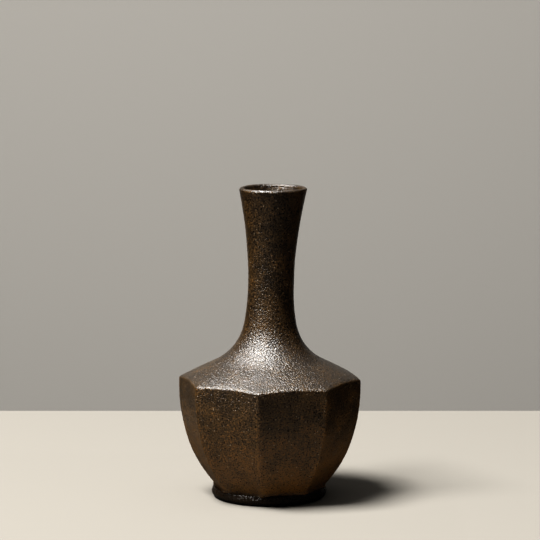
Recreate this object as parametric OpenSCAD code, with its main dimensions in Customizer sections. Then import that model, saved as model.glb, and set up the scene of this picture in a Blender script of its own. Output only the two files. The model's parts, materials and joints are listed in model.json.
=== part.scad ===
// Eight-sided bud vase in dark burnished clay, hand-built from slabs, coils and a thrown neck.
// The belly is eight mitred slabs standing on a turned foot ring. A cone-shaped shoulder
// closes it, and a long waisted neck and a round lip are set on top.
// Millimetres, +Z up, origin at the middle of the face that the foot stands on.

/* [Overall] */
// Height of the vase over its lip
height = 150; // [130:1:185]

/* [Foot] */
// Diameter of the foot ring at the table
foot_d = 56.4; // [46:0.2:68]
// How far the foot ring tapers in on each side by its top, where the wall slabs stand
foot_taper = 0.6; // [0:0.1:2]
// Height of the foot ring
foot_h = 6.2; // [5:0.1:10]
// Width of the foot ring's top
foot_w = 7.5; // [6:0.1:9]
// Radius of the foot ring's lower edges
foot_round = 1.8; // [0.5:0.1:2.5]

/* [Belly] */
// Width of the belly from flat to flat
belly_flats = 81.8; // [68:0.2:98.2]
// Height of the belly from the foot ring to the shoulder's corners
belly_h = 51.4; // [42:0.2:62]
// How far under the shoulder's corners the belly is widest
belly_widest_drop = 3.3; // [2:0.1:6]
// How far above the foot ring the sides begin to straighten
belly_turn_h = 19.8; // [16:0.2:24]
// How much flatter the upper side is than one single curve
belly_fullness = 1.1; // [1.02:0.01:1.2]
// Thickness of the wall slabs and the shoulder
slab_t = 4; // [3:0.1:5]
// Thickness of the floor slab
floor_t = 5; // [4:0.1:7]
// Radius of the coil pressed into the seam around the floor
floor_coil_r = 4; // [3:0.1:5]

/* [Shoulder] */
// Thickness of the shoulder's rim at its corners
shoulder_rim_t = 1.1; // [0.8:0.1:2]
// Slope of the shoulder, in degrees
shoulder_slope = 25; // [20:0.5:30]
// Radius of the coil under the shoulder's seam
shoulder_coil_r = 3.5; // [2.5:0.1:4.5]

/* [Neck] */
// Diameter of the neck at its waist
waist_d = 21.9; // [18:0.1:27]
// Height of the waist above the shoulder's corners
waist_rise = 44.1; // [36:0.1:53]
// Radius of the long curve under the waist
taper_r = 100; // [82:1:130]
// Radius of the curve where the neck flares into the shoulder
root_r = 26; // [20:0.5:32]
// Height of the seam between shoulder and neck above the shoulder's corners
neck_seam_rise = 12.4; // [10:0.1:15]
// Wall of the neck at its waist
neck_t = 2.8; // [2:0.1:3.6]

/* [Lip] */
// Outside diameter of the mouth
mouth_d = 32.4; // [27:0.1:40]
// Thickness of the lip
lip_t = 2.4; // [1.8:0.1:3]
// Height of the lip coil
lip_h = 3.2; // [2.5:0.1:5]

/* [Hidden] */

sides = 8;
half_side = 180 / sides;
// More than the vase measures in any direction, for cutting shapes that only have to be large
reach = 2 * height;
$fn = 240;

clay_dark = "#33281f";
clay_black = "#241b15";
clay_bare = "#4a3c31";

function unit(v) = v / norm(v);

// Heights above the table
shoulder_z = foot_h + belly_h;
wall_top_z = shoulder_z - shoulder_rim_t;
floor_top_z = foot_h + floor_t;
neck_seam_z = shoulder_z + neck_seam_rise;
waist_z = shoulder_z + waist_rise;
lip_z = height - lip_h;

foot_top_r = foot_d / 2 - foot_taper;
lip_r = lip_t / 2;

// Side of the belly, as two arcs that meet in a common tangent: [half-width, height] points
side_top = [belly_flats / 2, shoulder_z - belly_widest_drop];
side_foot = [foot_top_r * cos(half_side), foot_h];
side_rise = side_top - side_foot;
upper_r = belly_fullness * (side_rise * side_rise) / (2 * side_rise.x);
upper_centre = side_top - [upper_r, 0];
turn_angle = asin((belly_h - belly_widest_drop - belly_turn_h) / upper_r);
turn_inward = [-cos(turn_angle), sin(turn_angle)];
turn_point = upper_centre - upper_r * turn_inward;
turn_to_foot = side_foot - turn_point;
lower_r = (turn_to_foot * turn_to_foot) / (2 * turn_to_foot * turn_inward);
lower_centre = turn_point + lower_r * turn_inward;

// Half-width of the belly at height z, at a depth under the slabs' outer faces
function side_turn_z(depth) = (turn_point + depth * turn_inward).y;
function side_at(z, depth) =
    z > side_turn_z(depth)
        ? upper_centre.x + sqrt(pow(upper_r - depth, 2) - pow(z - upper_centre.y, 2))
        : lower_centre.x + sqrt(pow(lower_r - depth, 2) - pow(z - lower_centre.y, 2));

// The shoulder's line runs up from its corners at this radius
corner_r = side_at(wall_top_z, 0) / cos(half_side);
shoulder_up = [-cos(shoulder_slope), sin(shoulder_slope)];
shoulder_out = [sin(shoulder_slope), cos(shoulder_slope)];

// A skin is one surface of the shoulder and neck together:
// [depth under the shoulder's face, waist radius, mouth radius, taper radius, root radius]
outer_skin = [0, waist_d / 2, mouth_d / 2, taper_r, root_r];
inner_skin = [slab_t, waist_d / 2 - neck_t, mouth_d / 2 - lip_t, taper_r + neck_t, root_r + neck_t];

function taper_centre(skin) = [skin[1] + skin[3], waist_z];
function root_base(skin) = [corner_r, shoulder_z] + (skin[4] - skin[0]) * shoulder_out;
// The root arc touches the shoulder's line and the inside of the taper arc
function root_centre(skin) =
    let (away = taper_centre(skin) - root_base(skin),
         along = away * shoulder_up,
         across = away * shoulder_out,
         slide = along + sqrt(pow(skin[3] - skin[4], 2) - pow(across, 2)))
    root_base(skin) + slide * shoulder_up;
function root_low(skin) = root_centre(skin) - skin[4] * shoulder_out;
function root_high(skin) =
    taper_centre(skin) + skin[3] * unit(root_centre(skin) - taper_centre(skin));
// The flare above the waist is one arc that is upright at the waist and ends at the lip
function flare_rise(skin) = [skin[2] - skin[1], height - lip_r - waist_z];
function flare_r(skin) = (flare_rise(skin) * flare_rise(skin)) / (2 * flare_rise(skin).x);
function flare_centre(skin) = [skin[1] + flare_r(skin), waist_z];
// Radius of a skin above the waist, at height z
function flare_at(skin, z) = flare_centre(skin).x - sqrt(pow(flare_r(skin), 2) - pow(z - waist_z, 2));

// The part of a flat shape between two heights
module band(low, high) {
    intersection() {
        children();
        translate([-reach / 2, low]) square([reach, high - low]);
    }
}

// Everything between an arc that bulges outwards and its mirror image
module between_arcs(centre, r) {
    intersection_for (side = [-1, 1]) {
        translate([side * centre.x, centre.y]) circle(r);
    }
}

// Everything between the axis and an arc that is hollow towards the outside
module beside_arc(centre, r) {
    difference() {
        translate([0, centre.y - r]) square([centre.x, 2 * r]);
        translate(centre) circle(r);
    }
}

// The belly's outline seen along its flats, at a depth under their outer faces
module side_area(depth) {
    band(side_turn_z(depth), neck_seam_z) between_arcs(upper_centre, upper_r - depth);
    band(foot_h, side_turn_z(depth)) between_arcs(lower_centre, lower_r - depth);
}

// Eight-sided block between two heights, whose flats meet the slabs' faces at its top and bottom
module eight_sided(low, high, depth) {
    translate([0, 0, low])
        rotate([0, 0, half_side])
            cylinder(h = high - low, r1 = side_at(low, depth) / cos(half_side),
                     r2 = side_at(high, depth) / cos(half_side), $fn = sides);
}

// The area between the axis and a skin of the shoulder and neck
module skin_area(skin) {
    low = root_low(skin);
    high = root_high(skin);
    start = low - (low.y - foot_h) / shoulder_up.y * shoulder_up;
    polygon([[0, foot_h], start, low, [0, low.y]]);
    band(low.y, high.y) beside_arc(root_centre(skin), skin[4]);
    band(high.y, waist_z) beside_arc(taper_centre(skin), skin[3]);
    band(waist_z, height - lip_r) beside_arc(flare_centre(skin), flare_r(skin));
}

// The shoulder and neck's wall between two heights, turned about the axis
module thrown_wall(low, high) {
    rotate_extrude()
        band(low, high)
            difference() {
                skin_area(outer_skin);
                skin_area(inner_skin);
            }
}

// Turned ring that the vase stands on, a little wider at the table than at its top
module foot_ring() {
    outer_r = foot_d / 2;
    hollow_r = foot_top_r - foot_w;
    color(clay_black)
        rotate_extrude() {
            polygon([[hollow_r, foot_round], [outer_r, foot_round],
                     [foot_top_r, foot_h], [hollow_r, foot_h]]);
            translate([hollow_r + foot_round, 0])
                square([outer_r - hollow_r - 2 * foot_round, foot_h]);
            for (r = [hollow_r + foot_round, outer_r - foot_round])
                translate([r, foot_round]) circle(foot_round);
        }
}

// Slab cut to fit between the wall slabs, level with their lower edges
module floor_slab() {
    color(clay_bare) eight_sided(foot_h, floor_top_z, slab_t);
}

// Soft coil pressed into the corner between the floor and the walls
module floor_seam_coil() {
    hollow_r = side_at(floor_top_z, slab_t) - floor_coil_r;
    color(clay_bare)
        difference() {
            eight_sided(floor_top_z, floor_top_z + floor_coil_r, slab_t);
            rotate_extrude()
                translate([0, floor_top_z]) {
                    translate([hollow_r, floor_coil_r]) circle(floor_coil_r);
                    square([hollow_r, 2 * floor_coil_r]);
                }
        }
}

// One mitred slab of the wall. The first faces -Y, and the rest follow anticlockwise
module wall_panel(i) {
    mitre_w = reach * tan(half_side);
    color(clay_dark)
        rotate([0, 0, -90 + (i - 1) * 2 * half_side])
            intersection() {
                rotate([90, 0, 0])
                    linear_extrude(reach, center = true)
                        band(foot_h, wall_top_z)
                            difference() {
                                side_area(0);
                                side_area(slab_t);
                            }
                linear_extrude(reach)
                    polygon([[0, 0], [reach, -mitre_w], [reach, mitre_w]]);
            }
}

// Soft coil under the seam between the wall slabs and the shoulder
module shoulder_seam_coil() {
    color(clay_bare)
        intersection() {
            eight_sided(wall_top_z - shoulder_coil_r, wall_top_z + shoulder_coil_r, slab_t);
            rotate_extrude()
                intersection() {
                    skin_area(inner_skin);
                    translate([side_at(wall_top_z, slab_t), wall_top_z]) circle(shoulder_coil_r);
                }
        }
}

// Cone-shaped cover, trimmed flush with the eight wall slabs
module shoulder() {
    color(clay_dark)
        intersection() {
            thrown_wall(wall_top_z, neck_seam_z);
            rotate([0, 0, half_side])
                cylinder(h = neck_seam_z, r = side_at(wall_top_z, 0) / cos(half_side), $fn = sides);
        }
}

// Thrown neck, waisted in the middle and flared at both ends
module neck() {
    color(clay_dark) thrown_wall(neck_seam_z, lip_z);
}

// Coil rounded over the neck's upper edge
module lip_coil() {
    mouth_r = mouth_d / 2;
    color(clay_black)
        rotate_extrude() {
            polygon([[flare_at(inner_skin, lip_z), lip_z], [flare_at(outer_skin, lip_z), lip_z],
                     [mouth_r, height - lip_r], [mouth_r - lip_t, height - lip_r]]);
            translate([mouth_r - lip_r, height - lip_r]) circle(lip_r);
        }
}

foot_ring();
floor_slab();
floor_seam_coil();
for (i = [1 : sides]) {
    wall_panel(i);
}
shoulder_seam_coil();
shoulder();
neck();
lip_coil();
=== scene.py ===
import json
import math

import bmesh
import bpy
import numpy as np
from bpy.props import FloatProperty, IntProperty, PointerProperty, StringProperty
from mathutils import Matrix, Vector, kdtree, noise

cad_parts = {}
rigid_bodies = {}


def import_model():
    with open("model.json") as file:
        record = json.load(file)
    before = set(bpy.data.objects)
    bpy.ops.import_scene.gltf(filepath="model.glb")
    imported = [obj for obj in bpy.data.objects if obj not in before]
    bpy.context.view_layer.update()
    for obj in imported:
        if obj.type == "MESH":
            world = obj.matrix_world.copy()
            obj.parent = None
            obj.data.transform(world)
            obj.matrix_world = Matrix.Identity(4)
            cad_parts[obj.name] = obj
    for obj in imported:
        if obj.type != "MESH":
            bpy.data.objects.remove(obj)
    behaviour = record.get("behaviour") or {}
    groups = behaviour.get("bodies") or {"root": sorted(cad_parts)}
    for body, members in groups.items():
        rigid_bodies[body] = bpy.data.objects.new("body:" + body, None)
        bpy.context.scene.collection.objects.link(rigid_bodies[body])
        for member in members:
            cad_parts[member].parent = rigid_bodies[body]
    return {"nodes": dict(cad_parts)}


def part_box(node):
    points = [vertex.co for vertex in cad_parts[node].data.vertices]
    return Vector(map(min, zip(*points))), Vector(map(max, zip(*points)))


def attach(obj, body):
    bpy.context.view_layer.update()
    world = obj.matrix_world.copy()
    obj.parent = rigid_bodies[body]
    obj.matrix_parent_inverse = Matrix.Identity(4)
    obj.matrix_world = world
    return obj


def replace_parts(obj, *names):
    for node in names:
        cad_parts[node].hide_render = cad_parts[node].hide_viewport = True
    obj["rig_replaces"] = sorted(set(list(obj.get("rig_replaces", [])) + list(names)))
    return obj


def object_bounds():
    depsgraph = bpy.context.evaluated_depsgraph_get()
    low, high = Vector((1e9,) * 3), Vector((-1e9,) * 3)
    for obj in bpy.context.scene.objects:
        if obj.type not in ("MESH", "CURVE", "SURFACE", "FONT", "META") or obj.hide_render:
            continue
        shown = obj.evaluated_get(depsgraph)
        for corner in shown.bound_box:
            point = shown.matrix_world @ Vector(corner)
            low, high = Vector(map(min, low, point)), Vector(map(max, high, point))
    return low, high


# Eight-sided bud vase in dark glazed clay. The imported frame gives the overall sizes. Every clay piece
# that shows is a closed solid of its own, and all of them share one hand-worked surface, so that the
# luted seams are smoothed over as a potter leaves them.

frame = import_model()
cad_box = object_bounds()

bl_info = {
    "name": "Eight-sided bud vase",
    "version": (1, 0, 0),
    "blender": (4, 5, 0),
    "location": "3D View > Sidebar > Bud Vase",
    "description": "Builds a dark glazed bud vase from the clay pieces that it is luted together from",
    "category": "Object",
}

MM = 0.001
SIDES = 8
SIDE_ANGLE = math.tau / SIDES
HALF_SIDE = SIDE_ANGLE / 2
PANELS = [f"wall_panel_{number}" for number in range(1, SIDES + 1)]

# Heights and half-widths that the frame gives
HEIGHT = cad_box[1].z
FOOT_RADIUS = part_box("foot_ring")[1].x
FOOT_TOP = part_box("foot_ring")[1].z
HALF_FLATS = -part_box("wall_panel_1")[0].y
WALL_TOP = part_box("wall_panel_1")[1].z
NECK_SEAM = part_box("neck")[0].z
LIP_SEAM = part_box("lip_coil")[0].z
MOUTH_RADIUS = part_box("lip_coil")[1].x

# Height over which the neck's lean comes in
LEAN_EASE = 5 * MM
# The orange peel's second grain: how many times finer it is than the first, and its share of the height
FINE_RATE = 2.1
FINE_SHARE = 0.45
# How far from an arris or an edge the glaze runs thin
THIN_WIDTH = 1.2 * MM
# Distance between a mesh's rows inside the walls and down the throat, where less of the surface shows
HIDDEN_SPACING = 3 * MM
THROAT_SPACING = 0.8 * MM
# Points of one piece that are nearer than this are merged
MERGE_GAP = 0.005 * MM
# Points of neighbouring pieces that are nearer than this meet in a seam
SEAM_GAP = 0.05 * MM


def length(name, description, millimetres):
    """A property that holds a length."""
    return FloatProperty(name=name, description=description, default=millimetres * MM, min=0.0,
                         unit="LENGTH", subtype="DISTANCE", precision=5)


def angle(name, description, degrees):
    """A property that holds an angle."""
    return FloatProperty(name=name, description=description, default=math.radians(degrees),
                         unit="ROTATION", subtype="ANGLE")


def finish_colour(name, description, hex_colour):
    """A property that holds an sRGB colour as a hex value."""
    return StringProperty(name=name, description=description, default=hex_colour)


class VaseForm(bpy.types.PropertyGroup):
    """Sizes of the vase that its frame doesn't give"""

    slab: length("Slab", "Thickness of the wall slabs and the shoulder", 4)
    widest_drop: length("Widest drop", "How far under the shoulder's corners the belly is widest", 3.3)
    turn_height: length("Turn height", "How far above the foot ring the belly's two arcs meet", 19.8)
    fullness: FloatProperty(name="Fullness", default=1.1, min=1.0,
                            description="How much flatter the upper side is than one single curve")
    smear: length("Smear", "How far the wall slabs' clay is smeared down over the foot ring's top", 1.4)
    foot_trim: length("Foot trim", "How much is turned off the foot ring's side", 0.4)
    foot_taper: length("Foot taper", "How far the foot ring tapers in by its top", 0.6)
    foot_width: length("Foot width", "Width of the foot ring's top", 7.5)
    foot_round: length("Foot rounding", "Radius of the foot ring's lower edges", 2.8)
    rim: length("Shoulder rim", "Thickness of the shoulder's rim at its corners", 1.1)
    slope: angle("Shoulder slope", "Slope of the shoulder", 25)
    root_radius: length("Root radius", "Radius of the curve where the neck flares into the shoulder", 26)
    taper_radius: length("Taper radius", "Radius of the long curve under the waist", 100)
    waist_rise: length("Waist rise", "Height of the waist above the shoulder's corners", 44.1)
    waist_radius: length("Waist radius", "Radius of the neck at its waist", 10.95)
    neck_wall: length("Neck wall", "Wall of the neck at its waist", 2.8)
    lip: length("Lip", "Thickness of the lip", 2.4)


class HandWork(bpy.types.PropertyGroup):
    """What the potter's hand and the kiln leave on the vase"""

    arris: length("Arris softness", "How far the upright arrises are rounded off", 0.7)
    shoulder_edge: length("Shoulder softness", "How far the shoulder's edge is rounded off", 1.6)
    flattening: FloatProperty(name="Flattening", default=0.6, min=0.0, max=1.0,
                              description="How far the shoulder's rim is patted flat on the eight sides")
    flattening_height: length("Flattening height", "How far up the shoulder the patting reaches", 9)
    lean: FloatProperty(name="Lean", default=0.0225,
                        description="How far the neck leans, as a share of its height")
    lean_start: length("Lean start", "Height at which the neck begins to lean", 65)
    lean_angle: angle("Lean direction", "Direction in which the neck leans, anticlockwise from +X", -15.6)
    uneven_pitch: length("Unevenness pitch", "Distance between one dent of the hand and the next", 17)
    uneven_depth: length("Unevenness depth", "Height of the hand's unevenness", 0.22)
    grain_pitch: length("Grain pitch", "Distance between the grains of the orange-peel surface", 0.95)
    grain_depth: length("Grain depth", "Height of the orange-peel surface's grains", 0.11)
    flat_foot: length("Flat underside", "Height from which the surface is fully uneven", 1.5)
    spacing: length("Mesh spacing", "Distance between the rows of the visible surface's mesh", 0.36)
    columns: IntProperty(name="Columns", default=96, min=3,
                         description="Columns of the mesh across one flat side")


class VaseColours(bpy.types.PropertyGroup):
    """Colours of the glaze, the clay and the stage"""

    glaze_dark: finish_colour("Glaze, thick", "Where the glaze lies thick", "#261B0F")
    glaze_brown: finish_colour("Glaze, thin", "Where the glaze breaks over grains and arrises", "#624B2B")
    # Painted light: the lower belly is painted towards this amber, standing in for the table's bounce light
    # above the foot
    glaze_amber_bounce_lit: finish_colour("Glaze, thinnest", "Where the glaze runs thin above the foot", "#93682F")
    # Painted highlight: this pale colour paints glints of the key light as small dots on the glaze
    painted_glint: finish_colour("Speck", "Specks of mineral that melt out of the clay", "#BDAE98")
    foot: finish_colour("Foot", "Glaze on the foot ring", "#2A1D0F")
    foot_worn: finish_colour("Foot, worn", "Clay that shows on the foot's worn lower edge", "#3B2C22")
    clay: finish_colour("Bare clay", "Fired clay inside the vase", "#3A2E27")
    clay_pale: finish_colour("Bare clay, grit", "Grit in the fired clay", "#5C4D43")
    table: finish_colour("Table", "Pale cloth under the vase", "#9D9992")
    card: finish_colour("Bounce card", "What the glaze mirrors of the table", "#35332F")
    wall: finish_colour("Wall", "Plain wall behind the vase", "#A8A5A0")


class Studio(bpy.types.PropertyGroup):
    """Where the camera stands and where the table ends"""

    azimuth: angle("Azimuth", "Direction of the camera, anticlockwise from -Y seen from above", -15.6)
    distance: length("Distance", "Distance of the camera from the vase's axis, along the table", 1357.4)
    height: length("Height", "Height of the camera above the table", 300)
    pitch: angle("Pitch", "How far the camera looks down", 7.964)
    aim_right: length("Aim", "How far right of the vase's axis the camera aims", 0.3)
    lens: FloatProperty(name="Lens", description="Focal length in millimetres", default=190.5)
    table_back: length("Table's back edge", "Distance of the table's back edge from the axis", 217.4)


def turn_in_side(directions):
    """Angle of each direction from the middle of its own side."""
    return (directions + HALF_SIDE) % SIDE_ANGLE - HALF_SIDE


def soft_min(first, second, softness):
    """The smaller of two distances, rounded off where they are nearly equal."""
    overlap = np.maximum(softness - np.abs(first - second), 0) / softness
    return np.minimum(first, second) - overlap ** 2 * softness / 4


def across_arc(centre, radius, heights, side):
    """Half-width at each height of an arc on one side of its centre."""
    drop = np.maximum(radius ** 2 - (heights - centre.y) ** 2, 0)
    return centre.x + side * np.sqrt(drop)


class BellySide:
    """The belly seen along its flats: two arcs that meet in a common tangent."""

    def __init__(self, form):
        corner_z = WALL_TOP + form.rim
        top = Vector((HALF_FLATS, corner_z - form.widest_drop))
        foot_corner = FOOT_RADIUS - form.foot_taper
        foot = Vector((foot_corner * math.cos(HALF_SIDE), FOOT_TOP))
        rise = top - foot
        self.upper_radius = form.fullness * rise.length_squared / (2 * rise.x)
        self.upper_centre = top - Vector((self.upper_radius, 0))
        turn = math.asin((rise.y - form.turn_height) / self.upper_radius)
        self.inward = Vector((-math.cos(turn), math.sin(turn)))
        self.turn_point = self.upper_centre - self.upper_radius * self.inward
        chord = foot - self.turn_point
        self.lower_radius = chord.length_squared / (2 * chord.dot(self.inward))
        self.lower_centre = self.turn_point + self.lower_radius * self.inward

    def half_width(self, heights, depth=0.0):
        """Half-width from the axis to a flat, at a depth under the flat's face."""
        upper = across_arc(self.upper_centre, self.upper_radius - depth, heights, 1)
        lower = across_arc(self.lower_centre, self.lower_radius - depth, heights, 1)
        turn_z = (self.turn_point + depth * self.inward).y
        return np.where(heights > turn_z, upper, lower)


class TurnedSkin:
    """One surface of the shoulder and neck: a slope, a root arc, a taper arc and a flare arc."""

    def __init__(self, form, belly, depth, inset):
        self.slope = form.slope
        corner_z = WALL_TOP + form.rim
        corner_radius = float(belly.half_width(WALL_TOP)) / math.cos(HALF_SIDE)
        out = Vector((math.sin(form.slope), math.cos(form.slope)))
        up = Vector((-math.cos(form.slope), math.sin(form.slope)))
        waist = form.waist_radius - inset
        self.waist_z = corner_z + form.waist_rise
        self.root_radius = form.root_radius + inset
        self.taper_radius = form.taper_radius + inset
        self.taper_centre = Vector((waist + self.taper_radius, self.waist_z))
        base = Vector((corner_radius, corner_z)) + (self.root_radius - depth) * out
        away = self.taper_centre - base
        reach = math.sqrt((self.taper_radius - self.root_radius) ** 2 - away.dot(out) ** 2)
        self.root_centre = base + (away.dot(up) + reach) * up
        self.low = self.root_centre - self.root_radius * out
        towards = (self.root_centre - self.taper_centre).normalized()
        self.high = self.taper_centre + self.taper_radius * towards
        mouth = MOUTH_RADIUS - (form.lip if inset else 0)
        rise = Vector((mouth - waist, HEIGHT - form.lip / 2 - self.waist_z))
        self.flare_radius = rise.length_squared / (2 * rise.x)
        self.flare_centre = Vector((waist + self.flare_radius, self.waist_z))

    def radius(self, heights):
        """Radius of the surface at each height."""
        slope = self.low.x + (self.low.y - heights) / math.tan(self.slope)
        root = across_arc(self.root_centre, self.root_radius, heights, -1)
        taper = across_arc(self.taper_centre, self.taper_radius, heights, -1)
        flare = across_arc(self.flare_centre, self.flare_radius, heights, -1)
        return np.select([heights < self.low.y, heights < self.high.y, heights < self.waist_z],
                         [slope, root, taper], flare)


class Shape:
    """Every surface of the vase, as the form's sizes and the hand's work give it."""

    def __init__(self, scene):
        form = scene.vase_form
        self.form = form
        self.hand = scene.vase_hand
        self.belly = BellySide(form)
        self.outer = TurnedSkin(form, self.belly, depth=0.0, inset=0.0)
        self.inner = TurnedSkin(form, self.belly, depth=form.slab, inset=form.neck_wall)

    def octagon(self, directions, heights):
        """Distance from the axis to the eight-sided belly, and how near a point is to an arris."""
        turn = np.abs(turn_in_side(directions))
        flat = self.belly.half_width(np.clip(heights, FOOT_TOP, NECK_SEAM))
        near = flat / np.cos(turn)
        beside = flat / np.cos(SIDE_ANGLE - turn)
        return soft_min(near, beside, self.hand.arris), beside - near

    def worked_radius(self, directions, heights):
        """Distance from the axis to the outside, and how near a point is to an arris or an edge."""
        sides, from_arris = self.octagon(directions, heights)
        reach = self.hand.flattening_height
        near_rim = np.clip((WALL_TOP + reach - heights) / reach, 0, 1) ** 2
        inside_corners = 1 - math.cos(HALF_SIDE) / np.cos(turn_in_side(directions))
        flattening = self.hand.flattening * near_rim * inside_corners
        turned = self.outer.radius(heights) * (1 - flattening)
        from_edge = np.abs(sides - turned)
        radius = soft_min(sides, turned, self.hand.shoulder_edge)
        on_belly = sides < turned + self.hand.shoulder_edge
        return radius, np.where(on_belly, np.minimum(from_arris, from_edge), from_edge)

    def leant(self, points):
        """The points moved sideways as the neck leans."""
        over = np.maximum(points[:, 2] - self.hand.lean_start, 0)
        shift = self.hand.lean * over ** 2 / (over + LEAN_EASE)
        moved = points.copy()
        moved[:, 0] += shift * math.cos(self.hand.lean_angle)
        moved[:, 1] += shift * math.sin(self.hand.lean_angle)
        return moved

    def relief(self, points):
        """Height of the hand's unevenness and of the orange-peel grain at each point."""
        hand = self.hand
        uneven = [noise.noise(Vector(p)) for p in points / hand.uneven_pitch]
        grain = [noise.noise(Vector(p)) for p in points / hand.grain_pitch]
        fine = [noise.noise(Vector(p)) for p in points * (FINE_RATE / hand.grain_pitch)]
        height = (hand.uneven_depth * np.array(uneven)
                  + hand.grain_depth * (np.array(grain) + FINE_SHARE * np.array(fine)))
        # The foot's underside is flat, because the vase stands on it
        return height * np.clip(points[:, 2] / hand.flat_foot, 0, 1)


def rows(radius_at, low, high, spacing, samples=2000):
    """Heights from low to high that are evenly spaced along a surface."""
    fine = np.linspace(low, high, samples)
    steps = np.hypot(np.diff(radius_at(fine)), np.diff(fine))
    lengths = np.concatenate(([0.0], np.cumsum(steps)))
    count = max(1, round(lengths[-1] / spacing))
    return np.interp(np.linspace(0, lengths[-1], count + 1), lengths, fine)


# Which skin an outline's point is in. A face that runs from OUTSIDE straight to INSIDE lies in a seam
HIDDEN, OUTSIDE, ROUND_TOP, INSIDE = 0.0, 1.0, 2.0, 3.0


def outline_points(radii, heights, skin):
    """Outline points as (half-width, height, skin)."""
    return [(float(r), float(z), skin) for r, z in zip(radii, heights)]


def spin_outline(outline, columns, start=-HALF_SIDE, whole=True):
    """A closed solid: a closed outline turned about the axis, all the way round or through one side."""
    bm = bmesh.new()
    showing = bm.verts.layers.float.new("showing")
    ring = []
    for half_width, height, skin in outline:
        vert = bm.verts.new((half_width * math.cos(start), half_width * math.sin(start), height))
        vert[showing] = skin
        ring.append(vert)
    if whole:
        geometry = ring + [bm.edges.new(pair) for pair in zip(ring, ring[1:] + ring[:1])]
    else:
        face = bm.faces.new(ring)
        geometry = ring + list(face.edges) + [face]
    bmesh.ops.spin(bm, geom=geometry, cent=(0, 0, 0), axis=(0, 0, 1), dvec=(0, 0, 0), angle=SIDE_ANGLE,
                   steps=columns, use_merge=False, use_normal_flip=False, use_duplicate=False)
    if whole:
        side = bm.verts[:] + bm.edges[:] + bm.faces[:]
        bmesh.ops.spin(bm, geom=side, cent=(0, 0, 0), axis=(0, 0, 1), dvec=(0, 0, 0),
                       angle=math.tau - SIDE_ANGLE, steps=SIDES - 1, use_merge=False,
                       use_normal_flip=False, use_duplicate=True)
        bmesh.ops.remove_doubles(bm, verts=bm.verts, dist=MERGE_GAP)
    bmesh.ops.recalc_face_normals(bm, faces=bm.faces)
    return bm


def read_points(mesh):
    """The mesh's points as an array."""
    points = np.empty(len(mesh.vertices) * 3)
    mesh.vertices.foreach_get("co", points)
    return points.reshape(-1, 3)


def read_showing(mesh):
    """Which skin each of the mesh's points is in."""
    showing = np.empty(len(mesh.vertices), dtype=np.float32)
    mesh.attributes["showing"].data.foreach_get("value", showing)
    return showing


def skin_normals(mesh, points, showing):
    """Normals of the skin at a mesh's points, the point at each corner, and which corners the skin has.

    Faces that are hidden or lie in a seam don't count, so the normals hold right up to the seam."""
    mesh.vertices.foreach_set("co", points.ravel())
    mesh.update()
    corner_points = np.empty(len(mesh.loops), dtype=np.int32)
    mesh.loops.foreach_get("vertex_index", corner_points)
    face_sizes = np.empty(len(mesh.polygons), dtype=np.int32)
    mesh.polygons.foreach_get("loop_total", face_sizes)
    face_normals = np.empty(len(mesh.polygons) * 3)
    mesh.polygons.foreach_get("normal", face_normals)
    face_areas = np.empty(len(mesh.polygons))
    mesh.polygons.foreach_get("area", face_areas)
    starts = np.concatenate(([0], np.cumsum(face_sizes)[:-1]))
    lowest = np.minimum.reduceat(showing[corner_points], starts)
    highest = np.maximum.reduceat(showing[corner_points], starts)
    in_skin = (lowest > HIDDEN) & (highest - lowest <= 1)
    corner_in_skin = np.repeat(in_skin, face_sizes)
    weighted = face_normals.reshape(-1, 3) * face_areas[:, None]
    corner_normals = np.repeat(weighted, face_sizes, axis=0)[corner_in_skin]
    normals = np.zeros_like(points)
    np.add.at(normals, corner_points[corner_in_skin], corner_normals)
    return normals, corner_points, corner_in_skin


def unit(vectors):
    """The vectors at length 1, where they have a length."""
    lengths = np.linalg.norm(vectors, axis=1, keepdims=True)
    return vectors / np.maximum(lengths, 1e-12)


def clay_piece(name, bm, node, shape, place):
    """One closed piece of the vase: its solid put in place, given its relief and set to replace its node.

    The function place moves the turned solid's points to where the finished piece has them."""
    mesh = bpy.data.meshes.new(name)
    bm.to_mesh(mesh)
    bm.free()
    showing = read_showing(mesh)
    skin = showing > HIDDEN
    points, from_edge = place(read_points(mesh), skin)
    normals = unit(skin_normals(mesh, points, showing)[0])
    points[skin] += normals[skin] * shape.relief(points[skin])[:, None]
    points = shape.leant(points)
    mesh.vertices.foreach_set("co", points.ravel())
    thin = mesh.attributes.new("thin", "FLOAT", "POINT")
    thin.data.foreach_set("value", np.exp(-(from_edge / THIN_WIDTH) ** 2).astype(np.float32))
    mesh.polygons.foreach_set("use_smooth", np.ones(len(mesh.polygons), dtype=bool))
    mesh.update()
    piece = bpy.data.objects.new(name, mesh)
    bpy.context.scene.collection.objects.link(piece)
    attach(piece, "root")
    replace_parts(piece, node)
    return piece


def as_worked(shape):
    """Puts the outside of a piece where the hand-worked surface is, and leaves its inside as turned."""
    def place(points, skin):
        directions = np.arctan2(points[:, 1], points[:, 0])
        radius, from_edge = shape.worked_radius(directions, points[:, 2])
        placed = points.copy()
        placed[skin, 0] = radius[skin] * np.cos(directions[skin])
        placed[skin, 1] = radius[skin] * np.sin(directions[skin])
        return placed, from_edge
    return place


def as_turned(points, skin):
    """Leaves a piece as it was turned, with no arris or edge near any point."""
    return points, np.full(len(points), math.inf)


def as_flat_slab(shape):
    """Puts a wall slab's outside where the hand-worked surface is, and makes its inside flat."""
    work = as_worked(shape)

    def place(points, skin):
        directions = np.arctan2(points[:, 1], points[:, 0])
        flattened = points.copy()
        # A slab's two ends lie on arrises, where the turn may have either sign, but its cosine is the same
        flattened[:, :2] /= np.cos(turn_in_side(directions))[:, None]
        placed, from_edge = work(points, skin)
        flattened[skin] = placed[skin]
        return flattened, from_edge
    return place


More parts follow.
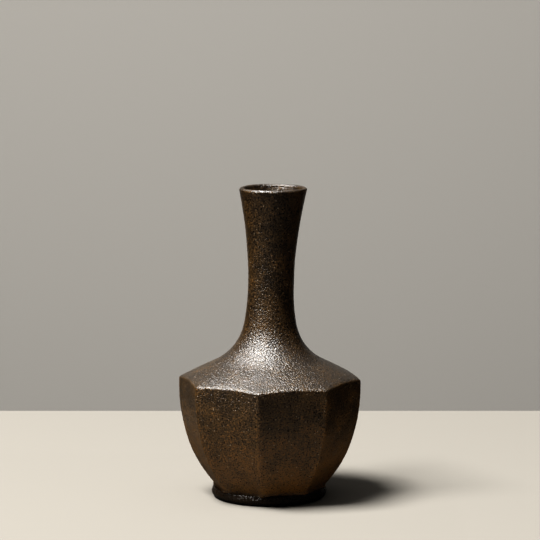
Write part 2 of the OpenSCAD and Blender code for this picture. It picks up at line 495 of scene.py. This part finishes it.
def hex_to_linear(hex_colour):
    """Linear RGBA of an sRGB hex colour."""
    channels = [int(hex_colour[i:i + 2], 16) / 255 for i in (1, 3, 5)]
    return [c / 12.92 if c <= 0.04045 else ((c + 0.055) / 1.055) ** 2.4 for c in channels] + [1.0]


def add_node(material, kind, settings=None, values=None, links=None):
    """Adds a shader node, with its settings, its sockets' values and its incoming links."""
    node = material.node_tree.nodes.new(kind)
    for name, value in (settings or {}).items():
        setattr(node, name, value)
    for socket, value in (values or {}).items():
        node.inputs[socket].default_value = value
    for socket, source in (links or {}).items():
        material.node_tree.links.new(source, node.inputs[socket])
    return node


def new_material(name):
    """An empty node material."""
    material = bpy.data.materials.new(name)
    material.use_nodes = True
    material.node_tree.nodes.clear()
    return material


def colour_ramp(node, stops):
    """Sets a colour ramp's stops, as (position, linear colour) pairs."""
    ramp = node.color_ramp
    while len(ramp.elements) < len(stops):
        ramp.elements.new(0.5)
    for element, (position, colour) in zip(ramp.elements, stops):
        element.position = position
        element.color = colour


# Distance between one thick patch of glaze, painted glint or piece of grit and the next
PATCH_PITCH = 9 * MM
GLINT_PITCH = 2.4 * MM
GRIT_PITCH = 0.9 * MM
# The glaze's finest grain: how many times finer it is than the mesh's first grain
BUMP_RATE = 1.35
# Height of the glaze's finest grains and of the grit
GRAIN_BUMP = 0.46 * MM
GRIT_BUMP = 0.08 * MM
# Heights between which the glaze is painted lighter and browner towards the foot: painted light of the
# table's bounce
BOUNCE_LIGHT_TOP = 58 * MM
BOUNCE_LIGHT_END = 14 * MM
# Heights between which the foot is worn more and more
WEAR_TOP = 0.9 * MM
WEAR_END = 0.1 * MM


def finest_grains(glaze, place, hand, smoothest, roughest):
    """The finest grains of a glaze's orange peel, and the roughness and the normal that they give it.

    The mesh can't hold grains so fine. Crystals in them make the gloss uneven from grain to grain."""
    grains = add_node(glaze, "ShaderNodeTexNoise",
                      values={"Scale": BUMP_RATE / hand.grain_pitch, "Detail": 2.5, "Roughness": 0.6},
                      links={"Vector": place})
    gloss = add_node(glaze, "ShaderNodeMapRange", {}, {"To Min": smoothest, "To Max": roughest},
                     {"Value": grains.outputs["Fac"]})
    skin = add_node(glaze, "ShaderNodeBump", values={"Strength": 1.0, "Distance": GRAIN_BUMP},
                    links={"Height": grains.outputs["Fac"]})
    return grains.outputs["Fac"], gloss.outputs["Result"], skin.outputs["Normal"]


def iron_glaze(colours, hand):
    """Dark iron glaze on stoneware, fired to a semi-gloss with an orange-peel skin.

    It lies nearly black where it is thick, and breaks to brown over grains and along arrises."""
    glaze = new_material("iron_glaze_orange_peel")
    place = add_node(glaze, "ShaderNodeTexCoord").outputs["Object"]
    # Slow drift of the glaze's thickness from patch to patch of the pot
    drift = add_node(glaze, "ShaderNodeTexNoise", values={"Scale": 1 / PATCH_PITCH, "Detail": 3.0},
                     links={"Vector": place})
    grains, roughness, normal = finest_grains(glaze, place, hand, smoothest=0.14, roughest=0.52)
    mottle = add_node(glaze, "ShaderNodeMath", {"operation": "MULTIPLY_ADD"}, {1: 0.3},
                      {0: drift.outputs["Fac"], 2: grains})
    # The attribute is 1 on an arris or an edge and fades to 0 beside it
    thin = add_node(glaze, "ShaderNodeAttribute", {"attribute_name": "thin"})
    broken = add_node(glaze, "ShaderNodeMath", {"operation": "MULTIPLY_ADD"}, {1: 0.05},
                      {0: thin.outputs["Fac"], 2: mottle.outputs["Value"]})
    # Painted bounce light: the glaze is painted lighter and browner towards the foot, where the table's
    # light bounces up onto the belly
    height = add_node(glaze, "ShaderNodeSeparateXYZ", links={"Vector": place})
    painted_bounce_light = add_node(glaze, "ShaderNodeMapRange", {"interpolation_type": "SMOOTHSTEP"},
                        {"From Min": BOUNCE_LIGHT_TOP, "From Max": BOUNCE_LIGHT_END, "To Min": 0.0, "To Max": 0.17},
                        {"Value": height.outputs["Z"]})
    with_bounce_light = add_node(glaze, "ShaderNodeMath", {"operation": "ADD"},
                       links={0: broken.outputs["Value"], 1: painted_bounce_light.outputs["Result"]})
    # Painted shade: what faces up, the shoulder and the top of the lip, is painted darker to tone down the
    # key light's brown there
    facing = add_node(glaze, "ShaderNodeNewGeometry")
    slope = add_node(glaze, "ShaderNodeSeparateXYZ", links={"Vector": facing.outputs["Normal"]})
    painted_top_shade = add_node(glaze, "ShaderNodeMapRange", {},
                       {"From Min": 0.15, "From Max": 0.8, "To Min": 0.0, "To Max": -0.07},
                       {"Value": slope.outputs["Z"]})
    coat = add_node(glaze, "ShaderNodeMath", {"operation": "ADD"},
                    links={0: with_bounce_light.outputs["Value"], 1: painted_top_shade.outputs["Result"]})
    ramp = add_node(glaze, "ShaderNodeValToRGB", links={"Fac": coat.outputs["Value"]})
    colour_ramp(ramp, [(0.56, hex_to_linear(colours.glaze_dark)),
                       (0.76, hex_to_linear(colours.glaze_brown)),
                       (0.92, hex_to_linear(colours.glaze_amber_bounce_lit))])
    # Sparse pale dots, about half a millimetre wide: painted glints of the key light on the grains
    glint_cells = add_node(glaze, "ShaderNodeTexVoronoi", values={"Scale": 1 / GLINT_PITCH},
                     links={"Vector": place})
    in_painted_glint = add_node(glaze, "ShaderNodeMapRange", {}, {"From Min": 0.12, "From Max": 0.07},
                        {"Value": glint_cells.outputs["Distance"]})
    # A colour mix's two colours are its inputs 6 and 7, and its output 2
    tint = add_node(glaze, "ShaderNodeMix", {"data_type": "RGBA"}, {7: hex_to_linear(colours.painted_glint)},
                    {0: in_painted_glint.outputs["Result"], 6: ramp.outputs["Color"]})
    shader = add_node(glaze, "ShaderNodeBsdfPrincipled", values={"IOR": 2.1},
                      links={"Base Color": tint.outputs[2], "Roughness": roughness, "Normal": normal})
    add_node(glaze, "ShaderNodeOutputMaterial", links={"Surface": shader.outputs["BSDF"]})
    return glaze


def foot_glaze(colours, hand):
    """Nearly black glaze on the foot ring, rubbed through to the clay along its lower edge.

    The ring reads as one dark, wet-looking band, a little paler where it has stood on tables."""
    glaze = new_material("foot_glaze_black")
    place = add_node(glaze, "ShaderNodeTexCoord").outputs["Object"]
    grains, roughness, normal = finest_grains(glaze, place, hand, smoothest=0.1, roughest=0.46)
    height = add_node(glaze, "ShaderNodeSeparateXYZ", links={"Vector": place})
    wear = add_node(glaze, "ShaderNodeMapRange", {}, {"From Min": WEAR_TOP, "From Max": WEAR_END},
                    {"Value": height.outputs["Z"]})
    worn = add_node(glaze, "ShaderNodeMath", {"operation": "MULTIPLY"},
                    links={0: wear.outputs["Result"], 1: grains})
    tint = add_node(glaze, "ShaderNodeValToRGB", links={"Fac": worn.outputs["Value"]})
    colour_ramp(tint, [(0.3, hex_to_linear(colours.foot)), (0.6, hex_to_linear(colours.foot_worn))])
    shader = add_node(glaze, "ShaderNodeBsdfPrincipled", values={"IOR": 1.8},
                      links={"Base Color": tint.outputs["Color"], "Roughness": roughness,
                             "Normal": normal})
    add_node(glaze, "ShaderNodeOutputMaterial", links={"Surface": shader.outputs["BSDF"]})
    return glaze


def bare_clay(colours):
    """Matt dark fired clay with pale grit, as an unglazed inside and underside have."""
    clay = new_material("bare_clay_matt")
    place = add_node(clay, "ShaderNodeTexCoord").outputs["Object"]
    grit = add_node(clay, "ShaderNodeTexNoise", values={"Scale": 1 / GRIT_PITCH, "Detail": 5.0},
                    links={"Vector": place})
    tint = add_node(clay, "ShaderNodeValToRGB", links={"Fac": grit.outputs["Fac"]})
    colour_ramp(tint, [(0.45, hex_to_linear(colours.clay)), (0.7, hex_to_linear(colours.clay_pale))])
    skin = add_node(clay, "ShaderNodeBump", values={"Strength": 1.0, "Distance": GRIT_BUMP},
                    links={"Height": grit.outputs["Fac"]})
    shader = add_node(clay, "ShaderNodeBsdfPrincipled", values={"IOR": 1.5, "Roughness": 0.85},
                      links={"Base Color": tint.outputs["Color"], "Normal": skin.outputs["Normal"]})
    add_node(clay, "ShaderNodeOutputMaterial", links={"Surface": shader.outputs["BSDF"]})
    return clay


def plain_stage(name, hex_colour):
    """Matt paint or cloth of one colour, for the table, the wall and the bounce card."""
    plain = new_material(name)
    shader = add_node(plain, "ShaderNodeBsdfPrincipled",
                      values={"Base Color": hex_to_linear(hex_colour), "Roughness": 0.95})
    add_node(plain, "ShaderNodeOutputMaterial", links={"Surface": shader.outputs["BSDF"]})
    return plain


def glaze_on(piece, scene):
    """Gives a piece the iron glaze, which is made for the first piece and shared by the others."""
    glaze = bpy.data.materials.get("iron_glaze_orange_peel")
    piece.data.materials.append(glaze or iron_glaze(scene.vase_colours, scene.vase_hand))


class VASE_OT_turn_foot(bpy.types.Operator):
    """Turn the foot ring that the vase stands on"""

    bl_idname = "vase.turn_foot"
    bl_label = "Turn foot ring"

    def execute(self, context):
        shape = Shape(context.scene)
        form = shape.form
        radius = FOOT_RADIUS - form.foot_trim
        top = FOOT_TOP - form.smear
        top_radius = radius - form.foot_taper
        hollow_radius = top_radius - form.foot_width
        bend = form.foot_round
        # The outline goes up the rounded and tapered side, in over the top and down the hollow inside
        arc = np.linspace(-math.pi / 2, 0, 8)
        side = np.linspace(0, 1, round((top - bend) / shape.hand.spacing))[1:]
        top_shows = 3 * MM
        ledge = np.linspace(top_radius, top_radius - top_shows, 9)[1:]
        outline = outline_points(radius - bend + bend * np.cos(arc), bend + bend * np.sin(arc), OUTSIDE)
        outline += outline_points(radius + side * (top_radius - radius), bend + side * (top - bend), OUTSIDE)
        outline += outline_points(ledge, np.full(len(ledge), top), OUTSIDE)
        outline += outline_points([hollow_radius], [top], HIDDEN)
        outline += outline_points(hollow_radius + bend - bend * np.cos(arc[::-1]),
                                  bend + bend * np.sin(arc[::-1]), HIDDEN)
        bm = spin_outline(outline, shape.hand.columns // 2)
        foot = clay_piece("turned_foot_ring", bm, "foot_ring", shape, as_turned)
        foot.data.materials.append(foot_glaze(context.scene.vase_colours, shape.hand))
        return {"FINISHED"}


class VASE_OT_set_walls(bpy.types.Operator):
    """Cut the eight mitred wall slabs and stand them on the foot ring"""

    bl_idname = "vase.set_walls"
    bl_label = "Set wall slabs"

    def execute(self, context):
        shape = Shape(context.scene)
        half_width = shape.belly.half_width
        bottom = FOOT_TOP - shape.form.smear
        outside = rows(half_width, bottom, WALL_TOP, shape.hand.spacing)
        inside = rows(half_width, bottom, WALL_TOP, HIDDEN_SPACING)[::-1]
        outline = outline_points(half_width(np.maximum(outside, FOOT_TOP)), outside, OUTSIDE)
        outline += outline_points(half_width(np.maximum(inside, FOOT_TOP), shape.form.slab), inside, HIDDEN)
        for number, node in enumerate(PANELS):
            start = -math.pi / 2 + number * SIDE_ANGLE - HALF_SIDE
            bm = spin_outline(outline, shape.hand.columns, start, whole=False)
            panel = clay_piece(f"belly_slab_{number + 1}", bm, node, shape,
                               as_flat_slab(shape))
            glaze_on(panel, context.scene)
        return {"FINISHED"}


class VASE_OT_fit_shoulder(bpy.types.Operator):
    """Fit the cone-shaped shoulder and trim it flush with the wall slabs"""

    bl_idname = "vase.fit_shoulder"
    bl_label = "Fit shoulder"

    def execute(self, context):
        shape = Shape(context.scene)

        def trimmed(heights):
            """Radius of the shoulder at its corners, where the wall slabs' arrises meet it."""
            corner = shape.belly.half_width(heights) / math.cos(HALF_SIDE)
            return np.minimum(corner, shape.outer.radius(heights))

        outside = rows(trimmed, WALL_TOP, NECK_SEAM, shape.hand.spacing)
        inside = rows(shape.inner.radius, WALL_TOP, NECK_SEAM, HIDDEN_SPACING)[::-1]
        outline = outline_points(trimmed(outside), outside, OUTSIDE)
        outline += outline_points(shape.inner.radius(inside), inside, HIDDEN)
        bm = spin_outline(outline, shape.hand.columns)
        shoulder = clay_piece("cone_shoulder", bm, "shoulder", shape, as_worked(shape))
        glaze_on(shoulder, context.scene)
        return {"FINISHED"}


class VASE_OT_join_neck(bpy.types.Operator):
    """Throw the waisted neck and join it to the shoulder"""

    bl_idname = "vase.join_neck"
    bl_label = "Join neck"

    def execute(self, context):
        shape = Shape(context.scene)
        outside = rows(shape.outer.radius, NECK_SEAM, LIP_SEAM, shape.hand.spacing)
        inside = rows(shape.inner.radius, NECK_SEAM, LIP_SEAM, THROAT_SPACING)[::-1]
        outline = outline_points(shape.outer.radius(outside), outside, OUTSIDE)
        outline += outline_points(shape.inner.radius(inside), inside, INSIDE)
        bm = spin_outline(outline, shape.hand.columns // 3)
        neck = clay_piece("waisted_neck", bm, "neck", shape, as_turned)
        glaze_on(neck, context.scene)
        return {"FINISHED"}


class VASE_OT_roll_lip(bpy.types.Operator):
    """Roll the coil that rounds the neck's upper edge"""

    bl_idname = "vase.roll_lip"
    bl_label = "Roll lip"

    def execute(self, context):
        shape = Shape(context.scene)
        lip_radius = shape.form.lip / 2
        top = HEIGHT - lip_radius
        outside = rows(shape.outer.radius, LIP_SEAM, top, shape.hand.spacing)
        inside = outside[::-1]
        arc = np.linspace(0, math.pi, 12)[1:-1]
        outline = outline_points(shape.outer.radius(outside), outside, OUTSIDE)
        outline += outline_points(MOUTH_RADIUS - lip_radius + lip_radius * np.cos(arc),
                                  top + lip_radius * np.sin(arc), ROUND_TOP)
        outline += outline_points(shape.inner.radius(inside), inside, INSIDE)
        bm = spin_outline(outline, shape.hand.columns // 3)
        lip = clay_piece("rounded_lip", bm, "lip_coil", shape, as_turned)
        glaze_on(lip, context.scene)
        return {"FINISHED"}


class VASE_OT_finish_inside(bpy.types.Operator):
    """Leave the floor and the two seam coils in bare clay"""

    bl_idname = "vase.finish_inside"
    bl_label = "Finish inside"

    def execute(self, context):
        clay = bare_clay(context.scene.vase_colours)
        for node in ("floor_slab", "floor_seam_coil", "shoulder_seam_coil"):
            piece = frame["nodes"][node]
            piece.data.materials.clear()
            piece.data.materials.append(clay)
        return {"FINISHED"}


class VASE_OT_smooth_seams(bpy.types.Operator):
    """Smooth the luted seams over, so that light runs across them without a line"""

    bl_idname = "vase.smooth_seams"
    bl_label = "Smooth seams"

    def execute(self, context):
        pieces = [piece for piece in context.scene.objects
                  if "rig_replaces" in piece and "showing" in piece.data.attributes]
        skins = []
        for piece in pieces:
            points = read_points(piece.data)
            skins.append((points, *skin_normals(piece.data, points, read_showing(piece.data))))
        # A skin's border is every point that it shares with a face outside it
        borders = []
        for number, (_, _, corner_points, in_skin) in enumerate(skins):
            skin_points = set(corner_points[in_skin].tolist())
            other_points = set(corner_points[~in_skin].tolist())
            borders += [(number, index) for index in sorted(skin_points & other_points)]
        tree = kdtree.KDTree(len(borders))
        for place, (number, index) in enumerate(borders):
            tree.insert(skins[number][0][index], place)
        tree.balance()
        joined = {}
        for number, index in borders:
            met = [borders[place] for _, place, _ in tree.find_range(skins[number][0][index], SEAM_GAP)]
            joined[number, index] = sum(skins[other][1][at] for other, at in met)
        for (number, index), normal in joined.items():
            skins[number][1][index] = normal
        for piece, (_, normals, corner_points, in_skin) in zip(pieces, skins):
            corner_normals = np.zeros((len(corner_points), 3))
            corner_normals[in_skin] = unit(normals)[corner_points[in_skin]]
            piece.data.normals_split_custom_set(corner_normals.tolist())
        return {"FINISHED"}


# The stage's extents in metres, along the camera's right and forward directions and upwards
TABLE_SIDE, TABLE_FRONT = 0.4, -0.5
FAR_SIDE, FAR_FRONT = 1.6, -2.4
CARD_RIGHT, CARD_BACK, CARD_HEIGHT = 0.09, 0.1, 0.05 * MM
WALL_AWAY, WALL_SIDE, WALL_LOW, WALL_HIGH = 1.5, 0.8, -0.8, 1.2
# Linear colours of the lamps and of the dim room around them
DAYLIGHT = (1.0, 1.0, 1.0)
WARM_WHITE = (1.0, 0.985, 0.96)
ROOM_GREY = (0.5, 0.48, 0.45, 1.0)


class StagePlan:
    """Places and directions on the stage, as the camera sees them."""

    def __init__(self, azimuth):
        self.right = Vector((math.cos(azimuth), math.sin(azimuth), 0))
        self.forward = Vector((-math.sin(azimuth), math.cos(azimuth), 0))
        self.up = Vector((0, 0, 1))

    def place(self, across, away, height):
        """A point or a direction, from its distances to the right, forward and up."""
        return across * self.right + away * self.forward + height * self.up

    def level(self, start, end, near, far, height=0):
        """Corners of a level sheet."""
        return [self.place(start, near, height), self.place(end, near, height),
                self.place(start, far, height), self.place(end, far, height)]

    def upright(self, start, end, away, low, high):
        """Corners of an upright sheet."""
        return [self.place(start, away, low), self.place(end, away, low),
                self.place(start, away, high), self.place(end, away, high)]


def stage_sheet(name, corners, material):
    """A flat sheet of the stage, from its four corners."""
    bm = bmesh.new()
    bmesh.ops.create_grid(bm, x_segments=1, y_segments=1, size=1)
    bm.verts.ensure_lookup_table()
    for vert, corner in zip(bm.verts, corners):
        vert.co = corner
    mesh = bpy.data.meshes.new(name)
    bm.to_mesh(mesh)
    bm.free()
    mesh.materials.append(material)
    sheet = bpy.data.objects.new(name, mesh)
    bpy.context.scene.collection.objects.link(sheet)
    return sheet


def set_table(plan, studio, colours):
    """The table, and the card that stands in for it in the glaze."""
    back = studio.table_back
    cloth = plain_stage("table_cloth_matt", colours.table)
    table_top = stage_sheet("table_top", plan.level(-TABLE_SIDE, TABLE_SIDE, TABLE_FRONT, back), cloth)
    table_top.visible_glossy = False
    # The glaze mirrors a dim card in place of the lit side of the table
    card = plain_stage("bounce_card_matt", colours.card)
    card_corners = plan.level(-TABLE_SIDE, CARD_RIGHT, TABLE_FRONT, CARD_BACK, CARD_HEIGHT)
    bounce = stage_sheet("bounce_card", card_corners, card)
    bounce.visible_camera = False
    bounce.visible_diffuse = False
    bounce.visible_shadow = False
    # The table runs on out of the picture. What is far away isn't to shine in the glaze
    for name, start, end, near, far in (
            ("table_left", -FAR_SIDE, -TABLE_SIDE, FAR_FRONT, back),
            ("table_right", TABLE_SIDE, FAR_SIDE, FAR_FRONT, back),
            ("table_front", -TABLE_SIDE, TABLE_SIDE, FAR_FRONT, TABLE_FRONT)):
        beyond = stage_sheet(name, plan.level(start, end, near, far), cloth)
        beyond.visible_glossy = False
        beyond.visible_diffuse = False


def set_wall(plan, colours):
    """The plain wall behind the table. Its own light isn't to fall on the vase."""
    paint = plain_stage("wall_paint_matt", colours.wall)
    wall_corners = plan.upright(-WALL_SIDE, WALL_SIDE, WALL_AWAY, WALL_LOW, WALL_HIGH)
    plain_wall = stage_sheet("plain_wall", wall_corners, paint)
    plain_wall.visible_diffuse = False


def studio_light(name, direction, distance, size, radiance, colour, aim=Vector((0, 0, 0.06))):
    """A soft rectangular lamp that faces what it aims at, from its direction, size and brightness."""
    data = bpy.data.lights.new(name, "AREA")
    data.shape = "RECTANGLE"
    data.size, data.size_y = size
    data.energy = radiance * math.pi * size[0] * size[1]
    data.color = colour
    lamp = bpy.data.objects.new(name, data)
    lamp.location = aim + direction.normalized() * distance
    lamp.rotation_mode = "QUATERNION"
    lamp.rotation_quaternion = direction.to_track_quat("Z", "Y")
    lamp.visible_camera = False
    bpy.context.scene.collection.objects.link(lamp)
    return lamp


def set_lights(plan):
    """A softbox above the vase's left, a wide dim fill above, a wash on the wall, and a dim room."""
    studio_light("key_softbox", direction=plan.place(-0.38, -0.19, 0.90), distance=2.6,
                 size=(1.1, 0.95), radiance=36.0, colour=WARM_WHITE)
    studio_light("overhead_fill", direction=plan.place(0.25, 0.05, 1.0), distance=2.2,
                 size=(2.4, 2.4), radiance=0.42, colour=WARM_WHITE)
    wall_wash = studio_light("wall_wash", direction=plan.place(0, -1, 0.05), distance=0.9,
                             size=(1.4, 0.7), radiance=0.8, colour=DAYLIGHT,
                             aim=plan.place(0, WALL_AWAY, -0.03))
    wall_wash.visible_glossy = False
    world = bpy.data.worlds.new("dim_room")
    world.use_nodes = True
    background = world.node_tree.nodes["Background"]
    background.inputs["Color"].default_value = ROOM_GREY
    background.inputs["Strength"].default_value = 0.004
    bpy.context.scene.world = world


def set_camera(plan, studio):
    """The camera, which looks down at the vase from the studio's direction."""
    data = bpy.data.cameras.new("studio_camera")
    data.lens = studio.lens
    data.clip_start = 0.05
    data.clip_end = 20
    camera = bpy.data.objects.new("studio_camera", data)
    camera.location = plan.place(studio.aim_right, -studio.distance, studio.height)
    view = plan.forward * math.cos(studio.pitch) - plan.up * math.sin(studio.pitch)
    camera.rotation_mode = "QUATERNION"
    camera.rotation_quaternion = view.to_track_quat("-Z", "Y")
    bpy.context.scene.collection.objects.link(camera)
    bpy.context.scene.camera = camera


class VASE_OT_set_stage(bpy.types.Operator):
    """Set the table, the wall, the lights and the camera"""

    bl_idname = "vase.set_stage"
    bl_label = "Set stage"

    def execute(self, context):
        scene = context.scene
        studio = scene.vase_studio
        plan = StagePlan(studio.azimuth)
        set_table(plan, studio, scene.vase_colours)
        set_wall(plan, scene.vase_colours)
        set_lights(plan)
        set_camera(plan, studio)
        scene.view_settings.view_transform = "Standard"
        scene.view_settings.look = "High Contrast"
        return {"FINISHED"}


class VASE_PT_sidebar(bpy.types.Panel):
    """The vase's pieces, in the order in which they are made"""

    bl_idname = "VASE_PT_sidebar"
    bl_label = "Bud Vase"
    bl_space_type = "VIEW_3D"
    bl_region_type = "UI"
    bl_category = "Bud Vase"

    def draw(self, context):
        for operator in OPERATORS:
            self.layout.operator(operator.bl_idname)


GROUPS = {"vase_form": VaseForm, "vase_hand": HandWork, "vase_colours": VaseColours,
          "vase_studio": Studio}
OPERATORS = [VASE_OT_turn_foot, VASE_OT_set_walls, VASE_OT_fit_shoulder, VASE_OT_join_neck,
             VASE_OT_roll_lip, VASE_OT_finish_inside, VASE_OT_smooth_seams, VASE_OT_set_stage]


def register():
    for cls in [*GROUPS.values(), *OPERATORS, VASE_PT_sidebar]:
        bpy.utils.register_class(cls)
    for name, group in GROUPS.items():
        setattr(bpy.types.Scene, name, PointerProperty(type=group))


def unregister():
    for name in GROUPS:
        delattr(bpy.types.Scene, name)
    for cls in [VASE_PT_sidebar, *reversed(OPERATORS), *reversed(GROUPS.values())]:
        bpy.utils.unregister_class(cls)


def main():
    """Makes the vase and its stage."""
    register()
    for operator in OPERATORS:
        group, name = operator.bl_idname.split(".")
        getattr(getattr(bpy.ops, group), name)()


if __name__ == "__main__":
    main()
